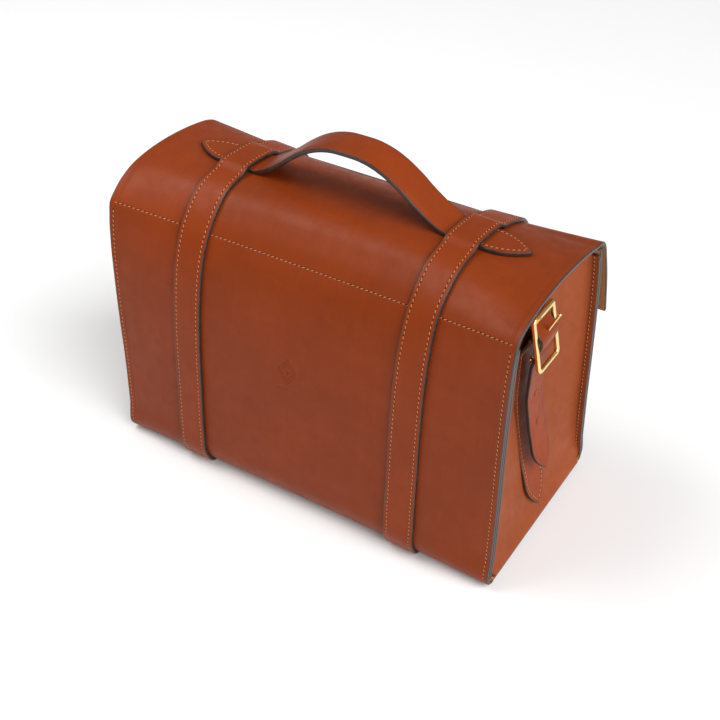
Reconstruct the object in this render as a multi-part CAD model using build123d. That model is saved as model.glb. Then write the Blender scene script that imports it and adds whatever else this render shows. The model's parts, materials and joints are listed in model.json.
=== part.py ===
"""Leather flight bag: a wrap of bridle leather with two end gussets, a hinged lid with a strap handle,
two lid straps closed on studs through roller buckles, and a shoulder strap buckled at each end.

X runs along the bag, +Y is the back (hinge side), -Y the front (closure side), +Z is up.
The origin is the bottom centre of the whole bag's box, on the surface that it stands on.
Left is -X and right is +X, as seen from the front. All sizes are in millimetres."""

import math
import os

from build123d import *

# ---- driving dimensions
LENGTH = 440.0            # end to end
HALF = LENGTH / 2
LEATHER = 3.5             # wrap, lid and gusset leather
STRAP_T = 4.0             # lined and stitched straps
STRAP_W = 32.0
STRAP_X = 125.0           # centre of each vertical strap
GAP = 0.1                 # between pieces that lie on each other
CLEAR = 0.4               # between pieces on different bodies
BASE_Z = STRAP_T + GAP    # underside of the wrap: the straps run under it
RIM_Z = 281.5             # top edge of the wrap and the hinge line
BASE_Y = 108.0            # half depth at the base
MID_Y, MID_Z = 99.0, 150.0
TOP_Y = 84.5              # half depth at the rim
BASE_R = 14.0
PANEL_R = 500.0
FLAP_Z = 189.0            # lower edge of the lid's front flap
SEAM_W = 10.5             # width of the end seams
SEAM_TOP = 274.0
WELT_W, WELT_LOW = 9.0, 70.0   # third layer of the back seams, and where it starts
HANDLE_W, HANDLE_T, HANDLE_Y = 38.0, 4.5, -15.0
HANDLE_TIP, HANDLE_FULL = 182.0, 150.0   # where the handle's ends come to a point and start to taper
HANDLE_CROWN_Z = 358.5
END_Y = -5.0              # centre of the end buckles
STRAP_THIN = 3.5          # single-leather billets and shoulder strap
CHAPE_T, CHAPE_W = 3.2, 36.0
ORIGIN_Y = -8.74          # middle of the whole bag's box, from the middle of the wrap

# ---- roller buckle, in its own frame: X along the bars, +Z towards the roller, -Y outwards
BUCKLE_W, BUCKLE_H = 42.5, 58.5
BUCKLE_T = 4.2
ROLLER_Z = (BUCKLE_H - 4.0) / 2
BAR_Z = ROLLER_Z - 24.0   # centre bar
ROLLER_R, ROLLER_BAR_R, BAR_R = 3.5, 1.8, 2.0
RUNNING = 0.1             # radial clearance of a roller or prong on its bar
INNER_W = BUCKLE_W - 2 * BUCKLE_T
LOOP_R = BAR_R + 0.25 + CHAPE_T          # outside of the chape's fold round the bar
PRONG_R, PRONG_EYE_R, PRONG_EYE_W = 1.4, 3.6, 5.0
PRONG_LENGTH = 28.0
FRONT_PRONG_ANGLE, END_PRONG_ANGLE = 12.6, 35.0

# ---- where the buckles sit
END_TILT = 10.5           # the frame's lower end stands outwards
END_X, END_Z = 207.0, 227.0
CLOSE_TILT = -5.65        # the frame's lower end leans inwards
CLOSE_Z = 150.0
CLOSE_Y = -117.9
STUD_Z = 88.0
STUD_NECK_R, STUD_BALL_R = 2.5, 4.5

SIDES = {"left": -1, "right": 1}
parts = {}


# ---- outlines
def offset_corners(points, distance):
    """Corners of the same polyline moved to its left by distance."""
    lines = []
    for (x0, y0), (x1, y1) in zip(points, points[1:]):
        length = math.hypot(x1 - x0, y1 - y0)
        nx, ny = -(y1 - y0) / length, (x1 - x0) / length
        lines.append(((x0 + nx * distance, y0 + ny * distance), (x1 - x0, y1 - y0)))
    moved = [lines[0][0]]
    for (p, u), (q, v) in zip(lines, lines[1:]):
        cross = u[0] * v[1] - u[1] * v[0]
        along = ((q[0] - p[0]) * v[1] - (q[1] - p[1]) * v[0]) / cross
        moved.append((p[0] + u[0] * along, p[1] + u[1] * along))
    (p, u) = lines[-1]
    moved.append((p[0] + u[0], p[1] + u[1]))
    return moved


def rounded(points, radii, distance):
    """The polyline moved left by distance, with its corners as arcs that stay concentric."""
    sized = []
    for (x0, y0), (x1, y1), (x2, y2), radius in zip(points, points[1:], points[2:], radii):
        turn = (x1 - x0) * (y2 - y1) - (y1 - y0) * (x2 - x1)
        sized.append(radius - distance * math.copysign(1, turn))
    return FilletPolyline(*offset_corners(points, distance), radius=sized)


def band(points, radii, near, far):
    """Closed face between the path moved left by near and by far."""
    a, b = rounded(points, radii, near), rounded(points, radii, far)
    return make_face([*a.edges(), *b.edges(), Line(a @ 0, b @ 0), Line(a @ 1, b @ 1)])


def along_x(face, x0, x1):
    """Solid of a (y, z) face between two stations along X."""
    return Pos(x0, 0, 0) * extrude(Plane.YZ * face, amount=x1 - x0)


def along_y(face, centre, width):
    """Solid of an (x, z) face, centred on a station along Y."""
    return Pos(0, centre, 0) * extrude(Plane.XZ * face, amount=width / 2, both=True)


def tongue(half_width, full, tip, back):
    """Strap end in plan: full width from back to full, then a pointed arch to the tip, along +X."""
    bulge = (full + (tip - full) * 0.62, half_width * 0.66)
    return make_face([
        Line((back, -half_width), (back, half_width)),
        Line((back, half_width), (full, half_width)),
        ThreePointArc((full, half_width), bulge, (tip, 0)),
        ThreePointArc((tip, 0), (bulge[0], -bulge[1]), (full, -half_width)),
        Line((full, -half_width), (back, -half_width)),
    ])


def end_point(y, z):
    """(x, z) of a point in the left end buckle's frame."""
    s, c = math.sin(math.radians(END_TILT)), math.cos(math.radians(END_TILT))
    return (-END_X + y * c + z * s, END_Z - y * s + z * c)


def close_point(y, z):
    """(y, z) of a point in a front buckle's frame."""
    s, c = math.sin(math.radians(CLOSE_TILT)), math.cos(math.radians(CLOSE_TILT))
    return (CLOSE_Y + y * c + z * s, CLOSE_Z - y * s + z * c)


def end_place(side):
    return Pos(side * END_X, END_Y, END_Z) * Rot(0, 0, 90 * side) * Rot(-END_TILT, 0, 0)


def close_place(side):
    return Pos(side * STRAP_X, CLOSE_Y, CLOSE_Z) * Rot(-CLOSE_TILT, 0, 0)


# ---- the wrap: front, bottom and back in one piece
WRAP = [(-TOP_Y, RIM_Z), (-MID_Y, MID_Z), (-BASE_Y, BASE_Z), (BASE_Y, BASE_Z), (MID_Y, MID_Z), (TOP_Y, RIM_Z)]
WRAP_R = [PANEL_R, BASE_R, BASE_R, PANEL_R]


def panel_y(z):
    """Outer half depth of the wrap at a height."""
    if z > MID_Z:
        return MID_Y + (TOP_Y - MID_Y) * (z - MID_Z) / (RIM_Z - MID_Z)
    return BASE_Y + (MID_Y - BASE_Y) * (z - BASE_Z) / (MID_Z - BASE_Z)


def seam_path(top):
    """The back panel's outer line from just over the bottom to a height."""
    low = BASE_Z + BASE_R
    return [(panel_y(low), low), (MID_Y, MID_Z), (panel_y(top), top)]


def make_wrap():
    parts["body_wrap"] = along_x(band(WRAP, WRAP_R, 0, LEATHER), -HALF, HALF)


# ---- gussets: a bowed panel between two outward flanges
GUSSET = [  # height, x at the seams, x at the middle, for the outer face
    (BASE_Z + LEATHER + GAP, 216.0, 215.4),
    (28.0, 213.0, 212.5),
    (64.0, 211.0, 205.0),
    (150.0, 210.5, 189.5),
    (286.0, 210.5, 189.5),
]
END_ZONE = -HALF + 60      # the left gusset lies between the end and here
GUSSET_TOP = [(-110, 262), (-96, 268), (-78, 280), (-50, 286), (50, 286), (76, 280), (92, 268), (110, 262)]


def gusset_slice(z, seam, middle):
    half = panel_y(min(z, RIM_Z)) - LEATHER - GAP - LEATHER / 2
    outer = ThreePointArc((-seam, -half), (-middle, 0), (-seam, half))
    inner = ThreePointArc((LEATHER - seam, -half), (LEATHER - middle, 0), (LEATHER - seam, half))
    ring = make_face([*outer.edges(), *inner.edges(), Line(outer @ 0, inner @ 0), Line(outer @ 1, inner @ 1)])
    return Pos(0, 0, z) * ring


def inside_of_wrap():
    """Everything within the wrap, carried up past its rim, at the left end."""
    rise = (TOP_Y - MID_Y) / (RIM_Z - MID_Z)
    over = 30
    tall = [(-TOP_Y - rise * over, RIM_Z + over), *WRAP[1:-1], (TOP_Y + rise * over, RIM_Z + over)]
    line = rounded(tall, WRAP_R, LEATHER + GAP)
    return along_x(make_face([*line.edges(), Line(line @ 1, line @ 0)]), -HALF, END_ZONE)


def make_gussets():
    panel = loft([gusset_slice(*row) for row in GUSSET], ruled=True)
    near, far = LEATHER + GAP, 2 * LEATHER + GAP
    flanges = seam_band(near, far, "back") + seam_band(near, far, "front")
    below = make_face(Polyline((110, 0), (-110, 0), *GUSSET_TOP, (110, 0)).edges())
    gusset = (panel + flanges) & along_x(below, -HALF, END_ZONE) & inside_of_wrap()
    welt = seam_band(far + GAP, far + GAP + LEATHER, "back")
    welt = welt & Pos(-HALF + WELT_W / 2, 0, WELT_LOW + 150) * Box(WELT_W, 400, 300)
    for name, side in SIDES.items():
        parts[f"gusset_{name}"] = gusset if side < 0 else mirror(gusset, Plane.YZ)
        parts[f"back_welt_{name}"] = welt if side < 0 else mirror(welt, Plane.YZ)


def seam_band(near, far, which):
    """Left seam layer, between two depths under the wrap's outer face."""
    strip = along_x(band(seam_path(SEAM_TOP), [PANEL_R], near, far), -HALF, -HALF + SEAM_W)
    return strip if which == "back" else mirror(strip, Plane.XZ)


BOARD_LENGTH, BOARD_W, BOARD_T = 412.0, 176.0, 3.0
BOARD_Z = BASE_Z + LEATHER + GAP
STRIP_LOW, STRIP_HIGH, STRIP_T, STRIP_HALF = 256.0, RIM_Z - 1, 2.5, 205.0   # behind the hinge's stitch line


def make_inside():
    parts["base_board"] = Pos(0, 0, BOARD_Z + BOARD_T / 2) * Box(BOARD_LENGTH, BOARD_W, BOARD_T)
    path = [(panel_y(STRIP_LOW), STRIP_LOW), (panel_y(STRIP_HIGH), STRIP_HIGH)]
    a, b = offset_corners(path, LEATHER + GAP), offset_corners(path, LEATHER + GAP + STRIP_T)
    strip = make_face(Polyline(a[0], a[1], b[1], b[0], a[0]).edges())
    parts["hinge_strip"] = along_x(strip, -STRIP_HALF, STRIP_HALF)


# ---- straps round the body
BASE_STRAP_TOP, BASE_STRAP_FULL = 112.0, 90.0   # tip of the front end, and where it starts to taper


def make_base_straps():
    path = [(-panel_y(BASE_STRAP_TOP), BASE_STRAP_TOP), *WRAP[2:]]
    solid = along_x(band(path, WRAP_R[1:], -GAP - STRAP_T, -GAP), -STRAP_W / 2, STRAP_W / 2)
    plan = Plane.XZ * Rot(0, 0, 90) * tongue(STRAP_W / 2, BASE_STRAP_FULL, BASE_STRAP_TOP + 1, -10)
    front = Pos(0, -60, 0) * extrude(plan, amount=80)
    rest = Pos(0, 90, RIM_Z / 2) * Box(2 * STRAP_W, 300, RIM_Z + 50)
    solid = (solid & front) + (solid & rest)
    for name, side in SIDES.items():
        parts[f"base_strap_{name}"] = Pos(side * STRAP_X, 0, 0) * solid


STUD_FLANGE_R, STUD_FLANGE_T = 5.5, 0.5
STUD_OUT = 8.7            # from the strap's face to the ball's centre


def make_studs():
    face_y = -panel_y(STUD_Z) - GAP - STRAP_T
    stud = Cylinder(STUD_FLANGE_R, STUD_FLANGE_T, align=(Align.CENTER, Align.CENTER, Align.MIN))
    stud += Cylinder(STUD_NECK_R, STUD_OUT, align=(Align.CENTER, Align.CENTER, Align.MIN))
    stud += Pos(0, 0, STUD_OUT) * Sphere(STUD_BALL_R)
    stud = Pos(0, face_y - CLEAR, STUD_Z) * Rot(90, 0, 0) * stud
    for name, side in SIDES.items():
        parts[f"closure_stud_{name}"] = Pos(side * STRAP_X, 0, 0) * stud


# ---- lid with its front flap, and what is sewn to it
LID = [(84.4, RIM_Z + 1.0), (83.6, 286.3), (77.5, 291.8), (30.0, 301.9), (-55.0, 302.0), (-88.0, 291.5),
       (-103.0, 250.0), (-116.5, FLAP_Z)]
LID_R = [5.0, 9.0, 120.0, 60.0, 13.0, 150.0]
HANDLE_Z = 302.1          # underside of the handle's sewn ends
HANDLE_SLOPE = 0.765      # of the arch's straight flanks
FOOT_R, CROWN_R = 28.0, 90.0
CROWN_RISE = 23.3         # from the arch's crown to where its flanks would meet


def make_lid():
    parts["lid"] = along_x(band(LID, LID_R, 0, LEATHER), -HALF, HALF)


def make_lid_straps():
    """Straps over the lid, raised where they cover the handle's ends."""
    top = HANDLE_Z + HANDLE_T
    near, far = HANDLE_Y + HANDLE_W / 2, HANDLE_Y - HANDLE_W / 2
    flat = LID[4][1]
    hump = [(near + 10, flat), (near + 4, top), (far - 4, top), (far - 10, flat)]
    path = LID[:4] + hump + LID[4:]
    radii = LID_R[:3] + [6.0, 5.5, 5.5, 6.0, 35.0] + LID_R[4:]
    solid = along_x(band(path, radii, -GAP - STRAP_T, -GAP), -STRAP_W / 2, STRAP_W / 2)
    for name, side in SIDES.items():
        parts[f"lid_strap_{name}"] = Pos(side * STRAP_X, 0, 0) * solid


def make_handle():
    apex = HANDLE_CROWN_Z - HANDLE_T + CROWN_RISE
    foot = (apex - HANDLE_Z) / HANDLE_SLOPE
    path = [(-HANDLE_TIP, HANDLE_Z), (-foot, HANDLE_Z), (0, apex), (foot, HANDLE_Z), (HANDLE_TIP, HANDLE_Z)]
    solid = along_y(band(path, [FOOT_R, CROWN_R, FOOT_R], 0, HANDLE_T), HANDLE_Y, HANDLE_W)
    end = tongue(HANDLE_W / 2, HANDLE_FULL, HANDLE_TIP, -0.01)
    plan = end + mirror(end, Plane.YZ)
    parts["handle"] = solid & Pos(0, HANDLE_Y, HANDLE_Z - 10) * extrude(plan, amount=120)


# ---- roller buckles
def bar(radius, length, z):
    return Pos(0, 0, z) * Rot(0, 90, 0) * Cylinder(radius, length)


def buckle_frame():
    outer = Rectangle(BUCKLE_W, BUCKLE_H)
    outer = fillet(outer.vertices(), 5.5)
    inner = Rectangle(INNER_W, BUCKLE_H - 2 * BUCKLE_T)
    inner = fillet(inner.vertices(), 2.5)
    ring = extrude(Plane.XZ * (outer - inner), amount=BUCKLE_T / 2, both=True)
    ring = fillet(ring.faces().filter_by(Axis.Y).edges(), 1.5)
    ring -= Pos(0, 0, ROLLER_Z) * Box(INNER_W, 20, 9)
    return ring + bar(ROLLER_BAR_R, INNER_W + 4, ROLLER_Z) + bar(BAR_R, INNER_W + 4, BAR_Z)


def roller():
    length = INNER_W - 0.6
    return bar(ROLLER_R, length, ROLLER_Z) - bar(ROLLER_BAR_R + RUNNING, length + 2, ROLLER_Z)


def prong(angle):
    arm = Pos(0, 0, PRONG_LENGTH / 2 + 1) * Cylinder(PRONG_R, PRONG_LENGTH - 2)
    arm += Pos(0, 0, PRONG_LENGTH) * Sphere(PRONG_R + 0.3)
    eye = Rot(0, 90, 0) * Cylinder(PRONG_EYE_R, PRONG_EYE_W)
    eye = (eye + arm) - Rot(0, 90, 0) * Cylinder(BAR_R + RUNNING, 20)
    return Pos(0, 0, BAR_Z) * Rot(angle, 0, 0) * eye


BILLET = [(3.0, 37.2), (7.6, 28.0), (-9.2, BAR_Z), (5.9, -ROLLER_Z)]   # past the roller, bar and end bar
BILLET_R = [6.0, 12.0]


EYE_MID = BAR_R + 0.25 + CHAPE_T / 2     # from the bar's axis to the middle of the chape's leather


def prong_slot(place):
    """Oval hole in a billet that the prong stands through."""
    hole = SlotOverall(13.5, 5.0, rotation=90)
    return place * Pos(0, 0, 11.8) * extrude(Plane.XZ * hole, amount=10, both=True)


def make_closures():
    """Billet, buckle and chape below each lid strap, on one swinging tab."""
    place = Pos(0, CLOSE_Y, CLOSE_Z) * Rot(-CLOSE_TILT, 0, 0)
    path = [close_point(y, z) for y, z in BILLET + [(-1.3, -44.0), (-1.3, -56.0)]]
    face = band(path, BILLET_R + [12.0, 12.0], -STRAP_THIN / 2, STRAP_THIN / 2)
    tip = Plane.XZ * Rot(0, 0, -90) * tongue(STRAP_W / 2, 40, 54, -60)
    billet = along_x(face, -STRAP_W / 2, STRAP_W / 2) & place * extrude(tip, amount=30, both=True)
    billet -= prong_slot(place)
    tail = [(EYE_MID, BAR_Z), (EYE_MID, BAR_Z - 4), (9.2, -16.0), (9.2, -30.0), (4.4, -46.0), (-1.1, -80.0)]
    face = band([close_point(y, z) for y, z in tail], [6.0, 12.0, 12.0, 12.0], -CHAPE_T / 2, CHAPE_T / 2)
    tip = Plane.XZ * Rot(0, 0, -90) * tongue(CHAPE_W / 2, 62, 79, -60)
    tail = along_x(face, -CHAPE_W / 2, CHAPE_W / 2) & place * extrude(tip, amount=30, both=True)
    hole = Pos(0, 0, STUD_Z) * extrude(Plane.XZ * Circle(STUD_NECK_R + 1.3), amount=140)
    slit = Pos(0, 0, STUD_Z + 5.5) * extrude(Plane.XZ * Rectangle(1.0, 8.0), amount=140)
    folded = eyes_on(tail, place) - hole - slit
    for name, side in SIDES.items():
        place = close_place(side)
        parts[f"closure_billet_{name}"] = Pos(side * STRAP_X, 0, 0) * billet
        parts[f"closure_chape_{name}"] = Pos(side * STRAP_X, 0, 0) * folded
        parts[f"front_buckle_frame_{name}"] = place * buckle_frame()
        parts[f"front_roller_{name}"] = place * roller()
        parts[f"front_prong_{name}"] = place * prong(FRONT_PRONG_ANGLE)


def eyes_on(tail, place):
    """Adds the fold round the centre bar to a chape's tail, and cuts the bar's way and the prong's slot."""
    fold = place * bar(LOOP_R, CHAPE_W - 4, BAR_Z)
    slot = place * Pos(0, -2, BAR_Z + 1) * Box(PRONG_EYE_W + 3, 20, 2 * LOOP_R + 4)
    return (tail + fold) - place * bar(BAR_R + 0.25, 60, BAR_Z) - slot


# ---- end hardware
GUSSET_X = 189.5          # bowed-in face of the gusset, in its upper half
RIVET_Z, RIVET_HEAD_R, RIVET_NECK_R = 196.0, 3.6, 2.4


def make_end_chapes():
    """Long sewn tongues on the gussets that hold the end buckles, each with a small rivet."""
    mid_x = GUSSET_X + 1.9 + CHAPE_T / 2
    eye_x, eye_z = end_point(EYE_MID, BAR_Z)
    path = [(eye_x, eye_z), (eye_x + 1, eye_z - 5), (-mid_x, 208.0), (-mid_x, 150.0),
            (-mid_x - 15.5, 64.0), (-mid_x - 23, 26.0)]
    face = band(path, [6.0, 14.0, 30.0, 60.0], -CHAPE_T / 2, CHAPE_T / 2)
    tip = Plane.YZ * Rot(0, 0, -90) * tongue(CHAPE_W / 2, -60, -28, -260)
    tail = along_y(face, END_Y, CHAPE_W) & Pos(-250, END_Y, 0) * extrude(tip, amount=100)
    chape = eyes_on(tail, end_place(-1))
    head = Cylinder(RIVET_HEAD_R, 1.0) + Pos(0, 0, 0.8) * Cylinder(RIVET_NECK_R, 0.8)
    rivet = Pos(-mid_x - CHAPE_T / 2 - 0.55, END_Y, RIVET_Z) * Rot(0, -90, 0) * head
    for name, side in SIDES.items():
        parts[f"end_chape_{name}"] = chape if side < 0 else mirror(chape, Plane.YZ)
        parts[f"end_rivet_{name}"] = rivet if side < 0 else mirror(rivet, Plane.YZ)


STRAP_OUT_X, STRAP_IN_X, STRAP_OVER_Z = 195.2, 183.5, 292.0
SPLIT_Z = 262.0           # where the shoulder strap's ends leave the fixed part


BILLET_HOLES_Z, BILLET_HOLE_R = (164.0, 130.0), 2.3


def make_shoulder_strap():
    """The strap's middle, stowed in the bag, and its two ends, each buckled at a gusset."""
    floor_z = BOARD_Z + BOARD_T + 0.3 + STRAP_THIN / 2
    half = [(-STRAP_OUT_X, SPLIT_Z + CLEAR), (-STRAP_OUT_X, STRAP_OVER_Z), (-STRAP_IN_X, STRAP_OVER_Z),
            (-STRAP_IN_X, floor_z)]
    path = half + [(-x, z) for x, z in reversed(half)]
    face = band(path, [5.0, 5.0, 4.0, 4.0, 5.0, 5.0], -STRAP_THIN / 2, STRAP_THIN / 2)
    parts["shoulder_strap"] = along_y(face, END_Y, STRAP_W)
    ends = [(-STRAP_OUT_X, SPLIT_Z), *[end_point(*point) for point in BILLET[1:]],
            (-205.6, 165.0), (-210.0, 126.0), (-219.0, 64.0)]
    face = band(ends, [*BILLET_R, 14.0, 120.0, 120.0], -STRAP_THIN / 2, STRAP_THIN / 2)
    tip = Plane.YZ * Rot(0, 0, -90) * tongue(STRAP_W / 2, -92, -66, -320)
    billet = along_y(face, END_Y, STRAP_W) & Pos(-260, END_Y, 0) * extrude(tip, amount=100)
    for z in BILLET_HOLES_Z:
        billet -= Pos(-210, END_Y, z) * Rot(0, 90, 0) * Cylinder(BILLET_HOLE_R, 40)
    billet -= prong_slot(end_place(-1))
    for name, side in SIDES.items():
        place = end_place(side)
        parts[f"shoulder_billet_{name}"] = billet if side < 0 else mirror(billet, Plane.YZ)
        parts[f"end_buckle_frame_{name}"] = place * buckle_frame()
        parts[f"end_roller_{name}"] = place * roller()
        parts[f"end_prong_{name}"] = place * prong(END_PRONG_ANGLE)


make_wrap()
make_gussets()
make_inside()
make_base_straps()
make_studs()
make_lid()
make_lid_straps()
make_handle()
make_closures()
make_end_chapes()
make_shoulder_strap()

os.makedirs("parts", exist_ok=True)
for node, solid in parts.items():
    export_step(Pos(0, -ORIGIN_Y, 0) * solid, f"parts/{node}.step")

whole = Compound(children=[Pos(0, -ORIGIN_Y, 0) * Compound(s.solids()) for s in parts.values()])
print(len(parts), "nodes", whole.bounding_box())
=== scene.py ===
import json
import math

import bmesh
import bpy
import numpy as np
from mathutils import Matrix, Vector


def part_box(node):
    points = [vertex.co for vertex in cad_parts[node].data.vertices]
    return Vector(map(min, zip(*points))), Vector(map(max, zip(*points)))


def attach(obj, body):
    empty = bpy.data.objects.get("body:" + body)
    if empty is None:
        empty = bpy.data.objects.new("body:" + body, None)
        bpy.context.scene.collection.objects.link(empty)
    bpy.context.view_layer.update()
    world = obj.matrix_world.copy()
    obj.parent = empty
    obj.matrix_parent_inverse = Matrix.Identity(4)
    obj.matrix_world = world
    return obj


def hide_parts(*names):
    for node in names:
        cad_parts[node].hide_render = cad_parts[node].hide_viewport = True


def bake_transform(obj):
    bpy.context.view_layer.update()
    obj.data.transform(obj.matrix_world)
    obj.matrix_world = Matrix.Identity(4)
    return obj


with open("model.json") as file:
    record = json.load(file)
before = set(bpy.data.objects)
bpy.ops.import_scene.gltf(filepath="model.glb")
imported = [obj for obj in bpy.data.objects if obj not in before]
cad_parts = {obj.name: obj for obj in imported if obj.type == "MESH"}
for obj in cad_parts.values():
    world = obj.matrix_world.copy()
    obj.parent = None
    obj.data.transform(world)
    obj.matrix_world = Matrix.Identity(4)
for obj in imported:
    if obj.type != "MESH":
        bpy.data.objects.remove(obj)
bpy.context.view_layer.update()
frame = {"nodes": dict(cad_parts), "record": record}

# Shapes below are in millimetres, with X along the bag, Y from the middle of its wrap towards the hinge side
# and Z up from the floor. put() turns them into the frame's metres.
WRAP_LO, WRAP_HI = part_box("body_wrap")
SHIFT_Y = (WRAP_LO.y + WRAP_HI.y) / 2 * 1000
HALF = WRAP_HI.x * 1000                 # half the bag's length
BASE_Z = WRAP_LO.z * 1000               # underside of the wrap
LEATHER = 3.5
STRAP_LO, STRAP_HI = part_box("base_strap_right")
STRAP_X = (STRAP_LO.x + STRAP_HI.x) / 2 * 1000
STRAP_W = (STRAP_HI.x - STRAP_LO.x) * 1000
STRAP_T = 4.0
HANDLE_LO, HANDLE_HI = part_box("handle")
HANDLE_Y = (HANDLE_LO.y + HANDLE_HI.y) / 2 * 1000 - SHIFT_Y
HANDLE_W = (HANDLE_HI.y - HANDLE_LO.y) * 1000
HANDLE_TIP = HANDLE_HI.x * 1000
HANDLE_T = 4.5
END_Y = -5.0
SEAM_TOP = 274.0
PITCH = 4.9                             # one stitch
THREAD_START, THREAD_SPAN = 0.17, 0.66  # the part of a pitch that thread covers
# These sizes shape the awl holes' dark lenses, which are painted shade standing in for the holes.
HOLE_SIDES, HOLE_LEAN = 8, 0.35
HOLE_CREST, HOLE_RIM, HOLE_FOOT = 0.22, 0.1, 0.4
HOLE_LONG, HOLE_WIDE = 0.75, 0.75       # half sizes of an awl hole
SIDES = {"left": -1, "right": 1}


def put(points):
    """Metres in the row frame, from this file's millimetres."""
    return (np.asarray(points, float) + (0, SHIFT_Y, 0)) / 1000


def ease(t):
    t = np.clip(t, 0, 1)
    return t * t * (3 - 2 * t)


def bell(distance, width):
    return np.exp(-((distance / width) ** 2))


# ---------------------------------------------------------------- materials
class Nodes:
    """A short way to write a node tree."""

    def __init__(self, name):
        self.material = bpy.data.materials.new(name)
        self.material.use_nodes = True
        self.tree = self.material.node_tree
        self.shader = self.tree.nodes["Principled BSDF"]

    def node(self, kind, **inputs):
        made = self.tree.nodes.new(kind)
        for key, value in inputs.items():
            self.set(made, key, value)
        return made

    def set(self, node, key, value):
        socket = node.inputs[key.replace("_", " ")] if isinstance(key, str) else node.inputs[key]
        if isinstance(value, bpy.types.NodeSocket):
            self.tree.links.new(value, socket)
        else:
            socket.default_value = value

    def coordinate(self, which, scale):
        source = self.node("ShaderNodeTexCoord")
        mapping = self.node("ShaderNodeMapping", Vector=source.outputs[which])
        mapping.inputs["Scale"].default_value = scale
        return mapping.outputs[0]

    def noise(self, vector, scale, detail=3.0, roughness=0.55, distortion=0.0):
        made = self.node("ShaderNodeTexNoise", Vector=vector, Scale=scale, Detail=detail, Roughness=roughness)
        made.inputs["Distortion"].default_value = distortion
        return made.outputs["Fac"]

    def ramp(self, value, stops):
        made = self.node("ShaderNodeValToRGB", Fac=value)
        ramp = made.color_ramp
        while len(ramp.elements) < len(stops):
            ramp.elements.new(0.5)
        for element, (place, colour) in zip(ramp.elements, stops):
            element.position = place
            element.color = (*colour, 1)
        return made.outputs["Color"]

    def span(self, value, low, high, from_low=0.0, from_high=1.0):
        made = self.node("ShaderNodeMapRange", Value=value)
        numbers = (from_low, from_high, low, high)
        for key, number in zip(("From Min", "From Max", "To Min", "To Max"), numbers):
            made.inputs[key].default_value = number
        return made.outputs[0]

    def mix(self, factor, a, b, blend="MIX"):
        made = self.tree.nodes.new("ShaderNodeMix")
        made.data_type, made.blend_type = "RGBA", blend
        for index, value in ((0, factor), (6, a), (7, b)):
            self.set(made, index, value if not isinstance(value, tuple) else (*value, 1))
        return made.outputs[2]

    def bump(self, height, distance, strength, normal=None):
        made = self.node("ShaderNodeBump", Height=height, Distance=distance, Strength=strength)
        if normal is not None:
            self.set(made, "Normal", normal)
        return made.outputs[0]


def tint(colour, factor):
    return tuple(min(1.0, c * factor) for c in colour)


def leather(name, colour, roughness=0.42, grain=0.22, coordinate="UV"):
    """Smooth waxed leather: fine pores, slow mottling, faint drawn-out marks."""
    m = Nodes(name)
    flat = m.coordinate(coordinate, (1, 1, 1))
    drawn = m.coordinate(coordinate, (3.0, 0.35, 1))
    cloud = m.noise(flat, 9.0, 4.0, 0.6)
    mottle = m.noise(flat, 60.0, 5.0, 0.65, 0.4)
    marks = m.noise(drawn, 45.0, 6.0, 0.7, 0.6)
    base = m.ramp(cloud, [(0.3, tint(colour, 0.86)), (0.7, tint(colour, 1.1))])
    base = m.mix(m.span(mottle, 0.0, 0.35, 0.35, 0.75), base, tint(colour, 0.72))
    base = m.mix(m.span(marks, 0.0, 0.22, 0.5, 0.8), base, tint(colour, 1.35))
    m.set(m.shader, "Base_Color", base)
    m.set(m.shader, "Roughness", m.span(mottle, roughness - 0.07, roughness + 0.1, 0.3, 0.7))
    pores = m.node("ShaderNodeTexVoronoi", Vector=flat, Scale=900.0)
    fine = m.noise(flat, 1500.0, 3.0, 0.6)
    wave = m.noise(flat, 28.0, 2.0, 0.5)
    normal = m.bump(wave, 0.0012, 0.12)
    normal = m.bump(pores.outputs["Distance"], 0.0002, grain, normal)
    normal = m.bump(fine, 0.00015, grain, normal)
    m.set(m.shader, "Normal", normal)
    m.shader.inputs["Specular IOR Level"].default_value = 0.14
    return m.material


def edge_paint():
    """Burnished and painted cut edge, with the layers just showing."""
    m = Nodes("edge_paint")
    place = m.coordinate("Object", (1, 1, 1))
    spots = m.noise(place, 220.0, 4.0, 0.6)
    m.set(m.shader, "Base_Color", m.ramp(spots, [(0.3, (0.018, 0.010, 0.008)), (0.72, (0.05, 0.026, 0.019))]))
    m.set(m.shader, "Roughness", m.span(spots, 0.3, 0.5))
    m.set(m.shader, "Normal", m.bump(m.noise(place, 600.0, 2.0), 0.0003, 0.3))
    m.shader.inputs["Specular IOR Level"].default_value = 0.5
    return m.material


def flesh_side():
    """Unlined back of the leather: short matted fibres."""
    m = Nodes("flesh_side")
    place = m.coordinate("Object", (1, 1, 1))
    fibres = m.noise(place, 700.0, 6.0, 0.75, 1.2)
    cloud = m.noise(place, 25.0, 4.0)
    base = m.ramp(fibres, [(0.3, (0.24, 0.10, 0.035)), (0.7, (0.47, 0.24, 0.10))])
    m.set(m.shader, "Base_Color", m.mix(m.span(cloud, 0.0, 0.4, 0.4, 0.7), base, (0.34, 0.14, 0.05)))
    m.set(m.shader, "Roughness", m.span(fibres, 0.75, 0.95))
    m.set(m.shader, "Normal", m.bump(fibres, 0.0005, 0.5))
    m.shader.inputs["Specular IOR Level"].default_value = 0.2
    return m.material


def thread():
    """Waxed linen thread with its twist."""
    m = Nodes("thread")
    place = m.coordinate("Object", (1, 1, 1))
    twist = m.node("ShaderNodeTexWave", Vector=place, Scale=260.0, Distortion=1.0)
    fuzz = m.noise(place, 1800.0, 3.0)
    base = m.mix(m.span(fuzz, 0.0, 0.5), (0.56, 0.22, 0.085), (0.42, 0.14, 0.05))
    m.set(m.shader, "Base_Color", base)
    m.set(m.shader, "Roughness", m.span(fuzz, 0.45, 0.65))
    m.set(m.shader, "Normal", m.bump(twist.outputs["Fac"], 0.0002, 0.5))
    return m.material


# Dark material for awl and billet holes: painted shade standing in for the shadow inside each hole.
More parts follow.
